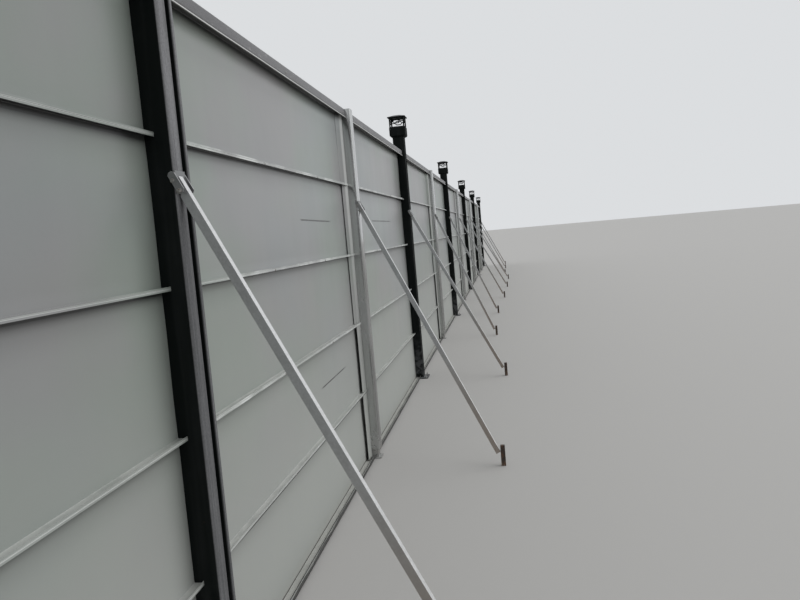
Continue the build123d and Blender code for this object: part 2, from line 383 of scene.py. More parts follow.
class Finish:
    """One procedural material on Object coordinates, with its Principled shader."""

    def __init__(self, name, color, roughness, metallic=0.0, specular=0.5):
        self.material = bpy.data.materials.new(name)
        self.material.use_nodes = True
        self.tree = self.material.node_tree
        self.shader = self.tree.nodes["Principled BSDF"]
        plain = {"Base Color": (*color, 1.0), "Roughness": roughness, "Metallic": metallic,
                 "Specular IOR Level": specular}
        for socket, value in plain.items():
            self.shader.inputs[socket].default_value = value
        self.place = self.node("ShaderNodeTexCoord", output="Object")
        self.x, self.y, self.z = self.parts(self.place)
        facing = self.parts(self.node("ShaderNodeNewGeometry", output="Normal"))
        self.facing_y, self.facing_z = facing[1:]

    def node(self, kind, settings=None, output=0, **inputs):
        """A node with its settings, then its inputs: by name, or by an underscore and a number."""
        made = self.tree.nodes.new(kind)
        for key, value in (settings or {}).items():
            setattr(made, key, value)
        for key, value in inputs.items():
            number = key[1:]
            socket = made.inputs[int(number) if number.isdigit() else key.replace("_", " ")]
            if isinstance(value, Field):
                self.tree.links.new(value.link, socket)
            else:
                socket.default_value = value
        return Field(self.tree, made.outputs[output])

    def parts(self, vector):
        """The three numbers of a vector."""
        split = self.node("ShaderNodeSeparateXYZ", Vector=vector)
        return [Field(self.tree, socket) for socket in split.link.node.outputs]

    def noise(self, scale, stretch=(1, 1, 1), detail=4.0, rough=0.55, shift=(0, 0, 0)):
        """Noise of a scale in cycles per metre, drawn out along the axes whose stretch is under 1."""
        place = self.node("ShaderNodeMapping", Vector=self.place, Scale=stretch, Location=shift)
        return self.node("ShaderNodeTexNoise", Vector=place, Scale=scale, Detail=detail, Roughness=rough)

    def level(self, field, low, high, start=0.0, end=1.0):
        """The field mapped from its own low and high to start and end, and held between them."""
        return self.node("ShaderNodeMapRange", {"clamp": True, "interpolation_type": "SMOOTHSTEP"},
                         Value=field, From_Min=low, From_Max=high, To_Min=start, To_Max=end)

    def mixed(self, factor, first, second):
        """Two colours mixed: plain tuples are given a full alpha."""
        first, second = [c if isinstance(c, Field) else (*c, 1.0) for c in (first, second)]
        return self.node("ShaderNodeMix", {"data_type": "RGBA"}, output=2, _0=factor, _6=first, _7=second)

    def shaded(self, color, field):
        """A colour times a field that is the same for red, green and blue."""
        return self.node("ShaderNodeVectorMath", {"operation": "SCALE"}, Vector=color, Scale=field)

    def bump(self, height, distance, strength):
        normal = self.node("ShaderNodeBump", Height=height, Distance=distance, Strength=strength)
        self.feed("Normal", normal)

    def feed(self, socket, field):
        self.tree.links.new(field.link, self.shader.inputs[socket])

    def near(self, places, reach, full=0.0):
        """How near X is to the closest of the places: 1 up to a full distance, 0 beyond the reach."""
        spacing = places[1] - places[0]
        apart = abs((self.x - (places[0] - spacing / 2)).wrap(0.0, spacing) - spacing / 2)
        return self.level(apart, full, reach, 1.0, 0.0)

    def scratch(self, start, end, width):
        """A mark along a line in X and Z: 1 on the line, fading to 0 at its width and its ends."""
        run_x, run_z = end[0] - start[0], end[1] - start[1]
        length = math.hypot(run_x, run_z)
        from_x, from_z = self.x - start[0], self.z - start[1]
        along = (from_x * run_x + from_z * run_z) / length ** 2
        off = abs(from_x * run_z - from_z * run_x) / length
        inside = self.level(along, 0.0, 0.08) * (1 - self.level(along, 0.85, 1.0))
        return (1 - self.level(off, width * 0.3, width)) * inside


# The main post, counted from 0, whose front has the most dust
DUSTY_POST = 1

# The bay, counted from 0, whose boards come from a slightly paler batch
PALE_BAY = 1

# Creases in the boards: each one's two ends in X and Z, and its width
CREASES = [
    ((-10.31, 1.722), (-9.53, 1.716), 0.006),
    ((-8.07, 1.730), (-6.93, 1.731), 0.007),
    ((-10.19, 0.757), (-9.49, 0.765), 0.006),
]

# Tones of the boards: the paint's own, painted light and shade, and what lies on it
GREENISH_GREY = (0.194, 0.219, 0.196)
PINKISH_GREY = (0.210, 0.209, 0.209)
BLUISH_GREY = (0.191, 0.209, 0.215)
# Painted light: a pale film that lifts the lower boards
PAINTED_LOW_LIGHT = (0.326, 0.338, 0.318)
LEDGE_DUST = (0.60, 0.60, 0.57)
# Painted highlights on the lips and the hooks, and painted light in the seam
LIP_HIGHLIGHT = (0.70, 0.72, 0.70)
SEAM_LIGHT = (0.58, 0.60, 0.58)
HOOK_HIGHLIGHT = (0.72, 0.73, 0.71)
# Painted shade: in the corners, on the undersides, on the lowest lip, beside the posts and at the foot
DEEP_SHADE = (0.012, 0.012, 0.012)
UNDERSIDE_SHADE = (0.015, 0.015, 0.015)
DARK_SHADE = (0.03, 0.03, 0.028)
POST_CORNER_SHADE = (0.07, 0.075, 0.07)
FOOT_SHADE = (0.05, 0.045, 0.04)
MUD = (0.30, 0.26, 0.21)
# Painted shade in the creases
CREASE_SHADE = (0.04, 0.04, 0.04)

# Tones of the posts and of the rail
POST_ZINC = (0.52, 0.527, 0.52)
POST_BLOOM = (0.36, 0.365, 0.36)
POST_MUD = (0.22, 0.19, 0.155)
ENAMEL = (0.0055, 0.0072, 0.0068)
ENAMEL_DUST = (0.225, 0.225, 0.232)
RUSTY_CHIP = (0.07, 0.035, 0.02)
RAIL_GREY = (0.128, 0.126, 0.131)
WORN_RAIL = (0.40, 0.40, 0.39)
RAIL_GRIME = (0.10, 0.095, 0.085)
# Painted shade in the rail's fold, then a painted highlight on its hem
RAIL_FOLD_SHADE = (0.035, 0.035, 0.034)
HEM_HIGHLIGHT = (0.85, 0.85, 0.84)

# Tones of the braces, the stakes and the bolts
BRACE_BLOOM = (0.34, 0.35, 0.35)
BROWN_ZINC = (0.31, 0.262, 0.225)
BRACE_MUD = (0.20, 0.155, 0.12)
BRACE_RUST = (0.16, 0.075, 0.035)
MILL_SCALE = (0.030, 0.023, 0.019)
STAKE_RUST = (0.105, 0.055, 0.032)
EARTH = (0.20, 0.145, 0.105)
DULL_BOLT = (0.30, 0.30, 0.29)
BOLT_RUST = (0.12, 0.06, 0.03)


def below_seam(paint):
    """How far a point lies below the next seam between two boards."""
    return board_pitch - (paint.z - board_bottom).wrap(0.0, board_pitch)


def on_lips(paint):
    """1 on the boards' lips, in the plane of the ribs' fronts."""
    lip_front = sheet_front - RIB_DEPTH
    return paint.level(paint.y, lip_front + 0.002, lip_front + 0.005, 1.0, 0.0)


def in_first_bay(paint):
    """1 up to the second main post, where the lips' painted highlight is weaker and the ribs' painted shade
    is deeper.
    """
    return paint.level(paint.x, main_x[1] - 0.05, main_x[1] + 0.05, 1.0, 0.0)


def patched_grey(paint):
    """The paint's colour: greenish, pinkish and bluish patches, faint upright streaks, a fine grain and
    one paler bay."""
    patch = paint.noise(0.8, (1, 1, 1.6), detail=3.0)
    color = paint.mixed(paint.level(patch, 0.36, 0.62), GREENISH_GREY, PINKISH_GREY)
    cool = paint.noise(0.5, (1, 1, 1.5), detail=2.0, shift=(5, 2, 9))
    color = paint.mixed(paint.level(cool, 0.45, 0.65) * 0.6, color, BLUISH_GREY)
    tone = 1.02 + 0.12 * paint.noise(0.35, (1, 1, 0.5), detail=2.0, shift=(7, 3, 1))
    tone = tone * (0.97 + 0.06 * paint.noise(9.0, (1, 1, 0.06), detail=3.0))
    tone = tone * (0.985 + 0.03 * paint.noise(90.0, detail=2.0))
    from_bay = abs(paint.x - mid_x[PALE_BAY])
    return paint.shaded(color, tone * paint.level(from_bay, half_bay, half_bay + 0.06, 1.09, 1.0))


def corner_shade(paint, below):
    """How dark the web's corners are: shade of several widths under each rib, and shade in the rail."""
    on_web = paint.level(paint.y, sheet_front - 0.012, sheet_front - 0.003)
    shade = paint.level(below, 0.012, 0.020, 0.58, 0.0) + paint.level(below, 0.012, 0.050, 0.34, 0.0)
    shade = shade + paint.level(below, 0.012, 0.034, 0.40, 0.0) * in_first_bay(paint)
    shade = shade + paint.level(below, 0.020, 0.130, 0.12, 0.0)
    rail_edge = rail_low[2]
    clear_of_rail = paint.level(paint.z, rail_edge - 0.15, rail_edge - 0.10, 1.0, 0.0)
    in_rail = paint.level(paint.z, rail_edge - 0.005, rail_edge + 0.022, 0.0, 0.92)
    return (shade * on_web * clear_of_rail + in_rail).least(0.95)


def edge_highlights_and_shade(paint, color, below):
    """Painted highlights on the hooks and, in patches, on the lips, painted shade on the undersides, and
    painted light in the seam between two lips.
    """
    hook_end = mid_half + HOOK_WIDTH
    # painted highlight on the hooks' fronts, stronger higher up
    hook_front = paint.near(mid_x, hook_end + 0.012, hook_end)
    hook_front = hook_front * paint.level(paint.y, sheet_front - 0.022, sheet_front - 0.016, 1.0, 0.0)
    color = paint.mixed(hook_front * paint.level(paint.z, 0.6, 1.8) * 0.55, color, HOOK_HIGHLIGHT)
    lips = on_lips(paint)
    # painted highlight on the lips, in patches, weaker in the first bay
    lip_highlight = lips * paint.level(paint.noise(9.0, (0.4, 1, 1), detail=5.0), 0.42, 0.68, 0.08, 0.75)
    color = paint.mixed(lip_highlight * (1 - in_first_bay(paint) * 0.85), color, LIP_HIGHLIGHT)
    # painted shade on the faces that look down
    color = paint.mixed(paint.level(-1 * paint.facing_z, 0.3, 0.8) * 0.9, color, UNDERSIDE_SHADE)
    # painted light that fills the shade of the seam between two lips
    half = board_pitch / 2
    seam = paint.level(abs(below - half), half - 0.0024, half - 0.0018)
    return paint.mixed(seam * lips * 0.6, color, SEAM_LIGHT)


def board_dirt_and_shade(paint, color, ledge, dust, mud):
    """Painted shade on the lowest rib's lower lip, dust on ledges, painted shade in the corners at the main
    posts, mud near the ground, and painted shade on the foot and on the front of the track."""
    # painted shade on the lowest rib's lower lip, past the second main post
    lip_middle = board_bottom + board_pitch - 0.006
    lowest_lip = paint.level(abs(paint.z - lip_middle), 0.0035, 0.005, 1.0, 0.0) * on_lips(paint)
    lowest_lip = lowest_lip * paint.level(paint.x, main_x[1], main_x[1] + 0.5)
    color = paint.mixed(lowest_lip * 0.95, color, DARK_SHADE)
    color = paint.mixed(dust * 0.45, color, LEDGE_DUST)
    # painted shade in the corners beside the main posts
    corner = paint.near(main_x, 0.24) * paint.level(paint.noise(5.0, (1, 1, 0.2)), 0.2, 0.8, 0.8, 1.0)
    color = paint.mixed(corner * 0.62, color, POST_CORNER_SHADE)
    color = paint.mixed(mud * 0.18, color, MUD)
    # painted shade at the foot
    foot = paint.level(paint.z, track_low[2] + 0.008, track_low[2] + 0.014, 0.9, 0.0)
    color = paint.mixed(foot * (1 - ledge), color, FOOT_SHADE)
    # painted shade on the front of the track
    track_front = paint.level(paint.y, track_low[1] + 0.004, track_low[1] + 0.007, 1.0, 0.0)
    track_front = track_front * paint.level(paint.z, track_high[2] + 0.001, track_high[2] + 0.003, 1.0, 0.0)
    return paint.mixed(track_front * 0.95, color, DARK_SHADE)


def board_paint():
    """Grey gloss paint under a pale film that thickens towards the ground: painted light that lifts the
    lower boards and dulls their gloss. Painted light below the rail, painted shade in the corners, painted
    highlights and shade on the edges, dust and mud, and a few creases with painted shade."""
    paint = Finish("grey_board_paint", (0.35, 0.36, 0.35), 0.3)
    below = below_seam(paint)
    # the film is painted light that lifts the boards towards the ground, where their gloss mirrors the
    # floor rather than the sky; it also dulls the gloss
    film = paint.level(paint.z, 0.15, 1.75, 1.0, 0.0)
    film = film * (0.85 + 0.3 * paint.noise(1.7, detail=3.0, shift=(3, 8, 4)))
    color = paint.mixed(film, patched_grey(paint), PAINTED_LOW_LIGHT)
    # painted light: a strip below the rail is lightened against the rail's shade
    color = paint.shaded(color, paint.level(paint.z, rail_low[2] - 0.10, rail_low[2] - 0.02, 1.0, 1.35))
    color = paint.mixed(corner_shade(paint, below), color, DEEP_SHADE)
    color = edge_highlights_and_shade(paint, color, below)
    ledge = paint.level(paint.facing_z, 0.4, 0.9)
    dust = ledge * paint.level(paint.noise(30.0, (0.3, 1, 1)), 0.3, 0.6, 0.4, 1.0)
    mud_top = 0.035 + 0.09 * paint.noise(3.5, (1, 1, 0.3), detail=6.0)
    mud = paint.level(paint.z, 0.012, mud_top, 1.0, 0.0)
    mud = mud * paint.level(paint.noise(60.0, detail=5.0), 0.35, 0.6, 0.3, 1.0)
    color = board_dirt_and_shade(paint, color, ledge, dust, mud)
    # the creases are darkened with painted shade, besides their dents in the bump
    crease = sum(paint.scratch(start, end, width) for start, end, width in CREASES)
    crease = crease * paint.level(paint.noise(14.0, (1, 1, 6)), 0.3, 0.5, 0.5, 1.0)
    paint.feed("Base Color", paint.mixed(crease * 0.95, color, CREASE_SHADE))
    dulled = film * 0.22 + mud * 0.3 + dust * 0.2
    paint.feed("Roughness", 0.26 + 0.10 * paint.noise(4.0, (1, 1, 0.3)) + dulled)
    wave = paint.noise(2.2, detail=2.0) * 0.6 + paint.noise(160.0, detail=2.0) * 0.01
    paint.bump(wave - crease * 0.2, 0.012, 0.5)
    return paint.material


def mid_post_zinc():
    """Bright galvanised box: it mirrors the wall, blurred by fine streaks that run up and down, with
    painted shade on the lower part of its front.
    """
    zinc = Finish("bright_galvanised_post", (0.52, 0.525, 0.52), 0.2, metallic=0.9)
    streak = zinc.noise(60.0, (1, 1, 0.03), detail=4.0, rough=0.65)
    tone = 0.72 + 0.34 * streak
    tone = tone * (0.94 + 0.12 * zinc.noise(1.1, detail=2.0))
    # painted shade: the front face is darker below 1.25 to 1.65 m
    front = zinc.level(-1 * zinc.facing_y, 0.5, 0.9)
    tone = tone * (1 - front * zinc.level(zinc.z, 1.25, 1.65, 0.58, 0.0))
    color = zinc.shaded(POST_ZINC, tone)
    bloom = zinc.level(zinc.noise(5.0, (1, 1, 0.3), detail=5.0), 0.50, 0.72)
    color = zinc.mixed(bloom * 0.35, color, POST_BLOOM)
    mud = zinc.level(zinc.z, 0.02, 0.28, 1.0, 0.0) * zinc.level(zinc.noise(45.0, detail=6.0), 0.25, 0.75)
    color = zinc.mixed(mud * 0.4, color, POST_MUD)
    zinc.feed("Base Color", color)
    zinc.feed("Metallic", 0.9 - bloom * 0.25 - mud * 0.6)
    zinc.feed("Roughness", 0.06 + 0.10 * streak + bloom * 0.12 + mud * 0.4)
    zinc.bump(streak + zinc.noise(5.0, (1, 1, 0.3), detail=2.0), 0.0008, 0.4)
    return zinc.material


def black_enamel():
    """Near-black enamel with dust in streaks, on ledges and near the ground, and a few rusty chips.
    The front of one post is dusty in fine runs, with less of that dust in its slot as painted shade."""
    paint = Finish("black_post_enamel", (0.006, 0.007, 0.007), 0.4, specular=0.05)
    streak = paint.noise(26.0, (1, 1, 0.04), detail=4.0)
    dust = paint.level(streak, 0.45, 0.8) * 0.03 + paint.level(paint.noise(3.0), 0.45, 0.75) * 0.02
    front = paint.level(-1 * paint.facing_y, 0.1, 0.8)
    dusty_post = paint.level(abs(paint.x - main_x[DUSTY_POST]), 0.15, 0.3, 1.0, 0.0)
    fine_runs = paint.noise(40.0, (1, 1, 0.03), detail=5.0, rough=0.7)
    runs_down = paint.level(fine_runs, 0.36, 0.64, 0.72, 1.2)
    speckled = paint.level(paint.noise(120.0, detail=4.0, rough=0.7), 0.35, 0.65, 0.85, 1.1)
    higher = 0.57 + 0.27 * paint.level(paint.z, 1.5, 2.1)
    front_dust = front * dusty_post * higher * runs_down * speckled
    # painted shade in the slot: less of the front's dust there
    from_slot = abs(paint.x - main_x[DUSTY_POST] - slot_middle)
    front_dust = front_dust * paint.level(from_slot, SLOT_WIDTH * 0.5, SLOT_WIDTH * 0.9, 0.35, 1.0)
    ledge = paint.level(paint.facing_z, 0.5, 0.9) * 0.5
    splashed = paint.level(paint.noise(22.0, detail=6.0), 0.38, 0.62)
    low = paint.level(paint.z, 0.02, 0.55, 0.35, 0.0) * splashed
    film = dust + front_dust + ledge + low
    color = paint.mixed(film, ENAMEL, ENAMEL_DUST)
    chips = paint.level(paint.noise(55.0, detail=5.0, rough=0.7), 0.70, 0.74)
    color = paint.mixed(chips * 0.5, color, RUSTY_CHIP)
    paint.feed("Base Color", color)
    paint.feed("Roughness", 0.32 + 0.18 * paint.noise(9.0, (1, 1, 0.15)) + front * 0.25 + film * 0.3)
    paint.bump(paint.noise(7.0, (1, 1, 0.2), detail=2.0) + chips * -0.05, 0.003, 0.35)
    return paint.material


def rail_paint():
    """Grey rail paint worn to a speckle, with painted shade over the first bay for its weaker sheen, a
    painted highlight on the hem, and painted shade in the fold above it and on the undersides."""
    paint = Finish("weathered_rail_paint", (0.20, 0.20, 0.19), 0.6)
    speckle = paint.level(paint.noise(70.0, (0.5, 1, 1), detail=6.0, rough=0.8), 0.38, 0.62)
    smear = paint.noise(16.0, (0.15, 1, 1), detail=4.0)
    tone = 0.60 + 0.54 * speckle + 0.22 * smear
    # painted shade over the first bay, standing in for the weaker sheen there
    tone = tone * paint.level(paint.x, main_x[1] + 0.1, main_x[1] + 1.6, 0.80, 1.0)
    color = paint.shaded(RAIL_GREY, tone)
    worn = paint.level(paint.noise(38.0, (0.4, 1, 1), detail=6.0, rough=0.7), 0.56, 0.70)
    color = paint.mixed(worn * 0.4, color, WORN_RAIL)
    grime = paint.level(paint.noise(8.0, (0.3, 1, 2.5), detail=5.0), 0.55, 0.75)
    color = paint.mixed(grime * 0.5, color, RAIL_GRIME)
    # painted shade in the fold above the hem
    fold = paint.level(paint.z, rail_low[2] + RAIL_HEM + 0.006, rail_low[2] + RAIL_HEM + 0.016, 1.0, 0.0)
    color = paint.mixed(fold * 0.85, color, RAIL_FOLD_SHADE)
    # painted highlight along the hem, patchy with the wear
    hem = paint.level(paint.y, rail_low[1] + 0.0035, rail_low[1] + 0.0055, 1.0, 0.0)
    hem = hem * paint.level(paint.z, rail_low[2] + RAIL_HEM, rail_low[2] + RAIL_HEM + 0.002, 1.0, 0.0)
    color = paint.mixed(hem * (0.75 + 0.25 * worn), color, HEM_HIGHLIGHT)
    # painted shade on the faces that look down
    color = paint.mixed(paint.level(-1 * paint.facing_z, 0.3, 0.8) * 0.8, color, DARK_SHADE)
    paint.feed("Base Color", color)
    paint.feed("Roughness", 0.34 + 0.22 * speckle)
    paint.bump(speckle, 0.0006, 0.6)
    return paint.material


def galvanised(name, side_tone, lit_top_tone):
    """Zinc with small crystal patches and dull scuffs, painted light on the faces that look up, brown near
    the ground, with mud at the foot and spots of rust."""
    base = (side_tone, side_tone * 1.01, side_tone * 1.02)
    zinc = Finish(name, base, 0.4, metallic=0.7)
    crystals = zinc.node("ShaderNodeTexVoronoi", Vector=zinc.place, Scale=150.0, output=1)
    patch = zinc.parts(crystals)[0]
    bloom = zinc.level(zinc.noise(9.0, detail=5.0), 0.42, 0.68)
    tone = 0.86 + 0.14 * patch + 0.12 * zinc.noise(26.0, (1, 1, 0.2))
    # painted light: the faces that look up take the lighter top tone
    painted_top_light = zinc.level(zinc.facing_z, 0.25, 0.45)
    color = zinc.mixed(painted_top_light, base, (lit_top_tone, lit_top_tone, lit_top_tone))
    color = zinc.shaded(color, tone)
    color = zinc.mixed(bloom * 0.25, color, BRACE_BLOOM)
    warm = zinc.level(zinc.z, 0.15, 1.0, 0.85, 0.0) * (1 - painted_top_light)
    color = zinc.mixed(warm, color, BROWN_ZINC)
    mud = (1 - zinc.level(zinc.z, 0.05, 0.30)) * zinc.level(zinc.noise(50.0, detail=5.0), 0.40, 0.60)
    color = zinc.mixed(mud * 0.6, color, BRACE_MUD)
    rust = zinc.level(zinc.noise(70.0, detail=5.0, rough=0.7), 0.68, 0.74)
    color = zinc.mixed(rust * 0.4, color, BRACE_RUST)
    zinc.feed("Base Color", color)
    zinc.feed("Metallic", 0.72 - bloom * 0.2 - mud * 0.6 - rust * 0.6)
    zinc.feed("Roughness", 0.30 + 0.12 * patch + bloom * 0.15 + mud * 0.3)
    zinc.bump(patch * 0.2 + zinc.noise(40.0), 0.0006, 0.4)
    return zinc.material


def stake_steel():
    """Dark mill-scaled bar with flaking brown rust, and earth stuck near the ground."""
    steel = Finish("dark_stake_steel", (0.03, 0.022, 0.018), 0.7, metallic=0.2)
    rust = steel.level(steel.noise(60.0, detail=7.0, rough=0.7), 0.45, 0.62)
    color = steel.mixed(rust, MILL_SCALE, STAKE_RUST)
    earth = (1 - steel.level(steel.z, 0.0, 0.05)) * steel.level(steel.noise(90.0), 0.4, 0.6)
    color = steel.mixed(earth * 0.8, color, EARTH)
    steel.feed("Base Color", color)
    steel.feed("Roughness", 0.55 + 0.3 * rust)
    steel.bump(steel.noise(110.0, detail=6.0), 0.0012, 0.8)
    return steel.material


def bolt_zinc():
    """Dull zinc of bolts and screws, browned in spots."""
    zinc = Finish("bolt_zinc", DULL_BOLT, 0.45, metallic=0.8)
    rust = zinc.level(zinc.noise(160.0, detail=5.0), 0.50, 0.66)
    zinc.feed("Base Color", zinc.mixed(rust * 0.7, DULL_BOLT, BOLT_RUST))
    zinc.feed("Metallic", 0.8 - rust * 0.5)
    zinc.feed("Roughness", 0.40 + 0.3 * rust)
    return zinc.material


BOARD = board_paint()
MID_POST = mid_post_zinc()
BLACK = black_enamel()
RAIL = rail_paint()
ZINC = galvanised("galvanised_brace", 0.41, 0.70)
BRACKET = galvanised("dull_bracket_zinc", 0.22, 0.40)
STAKE = stake_steel()
BOLT = bolt_zinc()
FINISHES = {
    "black_paint": BLACK, "grey_paint": BOARD, "rail_paint": RAIL,
    "galvanised_steel": ZINC, "stake_steel": STAKE,
}
NODE_FINISHES = {"base_plates": BLACK, "intermediate_feet": MID_POST, "brace_brackets": BRACKET}
for entry in frame["record"]["subparts"]:
    node = NODES[entry["node"]]
    node.data.materials.clear()
    node.data.materials.append(NODE_FINISHES.get(entry["node"], FINISHES[entry["material_slot"]]))


# Radii of the edges of the CAD nodes that stay, rounded here with modifiers
EDGE_RADII = {
    "braces": 0.003, "brace_brackets": 0.0008, "base_plates": 0.001, "intermediate_feet": 0.0015,
    "ground_stakes": 0.002, **{f"post_cap_{n}": 0.0015 for n in range(1, POST_COUNT + 1)},
}


def soften(node, radius):
    """A CAD node's own edges, joined and then rounded, with the flat faces left flat."""
    piece = NODES[node]
    weld = piece.modifiers.new("joined", "WELD")
    weld.merge_threshold = 0.00001
    bevel = piece.modifiers.new("rounded", "BEVEL")
    bevel.width = radius
    bevel.segments = 2
    bevel.limit_method = "ANGLE"
    bevel.angle_limit = math.radians(35)


# Wall: pan boards, each one folded sheet with a hook at its intermediate post
def board_line():
    """Section of one board in Y and Z: lip, flange, web, flange and lip, with rounded folds."""
    half = BOARD_SHEET / 2
    front = sheet_front - RIB_DEPTH + half
    web = sheet_front + half
    low, high = half - BOARD_TOUCH, board_height - half + BOARD_TOUCH
    corners = [(front, RIB_LIP), (front, low), (web, low),
               (web, high), (front, high), (front, board_height - RIB_LIP)]
    line = rounded(corners, [0, LIP_FOLD, BOARD_FOLD, BOARD_FOLD, LIP_FOLD, 0], steps=3)
    return divided(line, longest=0.045)


def buckled(points, draw, start, end):
    """Buckles a board's web by a sum of sines in X, each with its own half waves in height.

    The buckle fades out at the flanges. Each flange springs away from its neighbour between its
    screws by a squared sine of X, in step with how far the point stands out from the web."""
    along = (points[:, 0] - start) / (end - start)
    up = np.clip(points[:, 2] / board_height, 0, 1)
    out = np.clip((sheet_front - points[:, 1]) / RIB_DEPTH, 0, 1)
    waves = np.arange(1, BUCKLE_WAVES + 1)[:, None]
    heights = draw.integers(1, 3, BUCKLE_WAVES)[:, None]
    sizes = draw.uniform(-BUCKLE, BUCKLE, BUCKLE_WAVES)[:, None] / np.sqrt(waves)
    shifts = draw.uniform(0, math.pi, BUCKLE_WAVES)[:, None]
    buckle = sizes * np.sin(math.pi * waves * along + shifts) * np.sin(math.pi * heights * up)
    on_web = out < 0.05
    points[:, 1] += np.where(on_web, buckle.sum(axis=0), 0)
    between_screws = np.sin(math.pi * (points[:, 0] - start) / RIB_SCREW_STEP) ** 2
    spring = between_screws * draw.uniform(0, FLANGE_SPRING)
    points[:, 2] += np.where(up > 0.5, -1, 1) * spring * out
    return points


def hook_line(end, away, closed):
    """Section of a board's hook in X and Y: forwards beside the post, then away in front of the sheet.

    How far it is closed says how near its free edge comes to the sheet, from 0 for a level hook to
    1 for one that is pressed flat at its edge."""
    half = BOARD_SHEET / 2
    front = sheet_front - HOOK_DEPTH + half
    free = front + closed * (HOOK_DEPTH - 1.5 * BOARD_SHEET)
    side = end + away * half
    corners = [(side, sheet_front), (side, front), (end + away * HOOK_WIDTH, free)]
    return rounded(corners, HOOK_FOLD, steps=4)


def wall_panel(bay, side, seed):
    node = f"wall_panel_{bay}{side}"
    low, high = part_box(node)
    draw = np.random.default_rng(seed)
    stations = np.linspace(low[0], high[0], BOARD_SECTIONS)
    end, away = (high[0], -1) if side == "a" else (low[0], 1)
    hook_stations = np.linspace(BOARD_SHEET, board_height - BOARD_SHEET, HOOK_SECTIONS)
    wall = Shape()
    for board in range(BOARD_COUNT):
        lift = np.array([0, 0, board_bottom + board_pitch * board])
        points, faces = folded_sheet(board_line(), BOARD_SHEET, stations, 0)
        wall.add(buckled(points, draw, low[0], high[0]) + lift, faces)
        closed = min(HOOK_CLOSED[board] + draw.uniform(0, HOOK_SPREAD), 1.0)
        points, faces = folded_sheet(hook_line(end, away, closed), BOARD_SHEET, hook_stations, 2)
        wall.add(points + lift, faces)
    wall.make(f"pan_boards_{bay}{side}", "grey_paint", BOARD, node, smooth=40)


# Main posts: one cold-formed sheet, from the curl beside the slot round to the return
def main_post_line(x):
    half = POST_WALL / 2
    slot_end = x + post_half - SLOT_LIP
    slot_start = slot_end - SLOT_WIDTH
    corners = [
        (slot_start - half, post_front + SLOT_CURL), (slot_start - half, post_front + half),
        (x - post_half + half, post_front + half), (x - post_half + half, post_back - half),
        (x + post_half - half, post_back - half), (x + post_half - half, post_front + half),
        (slot_end + half, post_front + half), (slot_end + half, post_front + SLOT_RETURN),
    ]
    curl = SLOT_CURL - half - LEAST_RUN
    corner = POST_CORNER - half
    return rounded(corners, [0, curl, corner, corner, corner, corner, SLOT_FOLD, 0], steps=6)


def main_post(number, x):
    post = Shape()
    stations = np.linspace(post_low[2], post_high[2], MAIN_POST_SECTIONS)
    post.add(*folded_sheet(main_post_line(x), POST_WALL, stations, 2))
    post.make(f"slotted_post_{number}", "black_paint", BLACK, f"main_post_{number}", smooth=40)


# Intermediate posts: a box with small corner rounds, closed by a plate at its foot and at its head
def mid_post(number, x):
    half = MID_POST_WALL / 2
    corners = [(x - mid_half + half, mid_front + half), (x + mid_half - half, mid_front + half),
               (x + mid_half - half, mid_high[1] - half), (x - mid_half + half, mid_high[1] - half)]
    line = rounded(corners, MID_POST_CORNER - half, closed=True, steps=4)
    stations = np.linspace(mid_low[2], mid_high[2], MID_POST_SECTIONS)
    post = Shape()
    post.add(*folded_sheet(line, MID_POST_WALL, stations, 2, closed=True))
    inner = min(two_sides(line, MID_POST_WALL, closed=True), key=np.ptp)
    for low in (mid_low[2] + LID_CLEARANCE, mid_high[2] - MID_POST_WALL):
        post.add(*slab(inner, low, low + MID_POST_WALL - LID_CLEARANCE))
    post.make(f"box_post_{number}", "galvanised_steel", MID_POST, f"intermediate_post_{number}", smooth=40)


# Top rail: an inverted channel whose front ends in a small hem. Bottom track: a channel with wavy edges
def rail_line():
    half = RAIL_WALL / 2
    back = rail_high[1] - half
    front = rail_front + half
    hem = rail_low[1] + half
    top = rail_high[2] - half
    corners = [(back, rail_low[2]), (back, top), (front, top),
               (front, rail_low[2] + half), (hem, rail_low[2] + half), (hem, rail_low[2] + RAIL_HEM)]
    line = rounded(corners, [0, RAIL_FOLD, RAIL_FOLD, HEM_FOLD, HEM_FOLD, 0], steps=3)
    return divided(line, longest=0.03)


def runs(number):
    """Start and end in X of the two stretches of a bay, on each side of its intermediate post."""
    boxes = [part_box(f"wall_panel_{number}{side}") for side in "ab"]
    return [(low[0], high[0]) for low, high in boxes]


def edge_wave(points, start, end, halves, size, draw):
    """The wave of a sheet's edge: a sum of sines in X, one for each number of half waves from start to
    end, each with its own size and shift."""
    along = (points[:, 0] - start) / (end - start)
    sizes = draw.uniform(-size, size, len(halves))[:, None]
    shifts = draw.uniform(0, 6, len(halves))[:, None]
    return (sizes * np.sin(math.pi * halves[:, None] * along + shifts)).sum(axis=0)


def top_rail(number):
    """The rail of one bay. Its front waves, more the lower a point is."""
    rail = Shape()
    for stretch, (start, end) in enumerate(runs(number)):
        stations = np.linspace(start, end, RAIL_SECTIONS)
        points, faces = folded_sheet(rail_line(), RAIL_WALL, stations, 0)
        draw = np.random.default_rng(RAIL_SEED + 2 * number + stretch)
        wave = edge_wave(points, start, end, np.arange(2, 8), RAIL_WAVE, draw)
        down = np.clip((rail_high[2] - points[:, 2]) / (rail_high[2] - rail_low[2]), 0, 1)
        in_front = points[:, 1] < 0
        points[:, 1] += wave * down * in_front
        rail.add(points, faces)
    rail.make(f"hemmed_rail_{number}", "rail_paint", RAIL, f"top_rail_{number}", smooth=40)


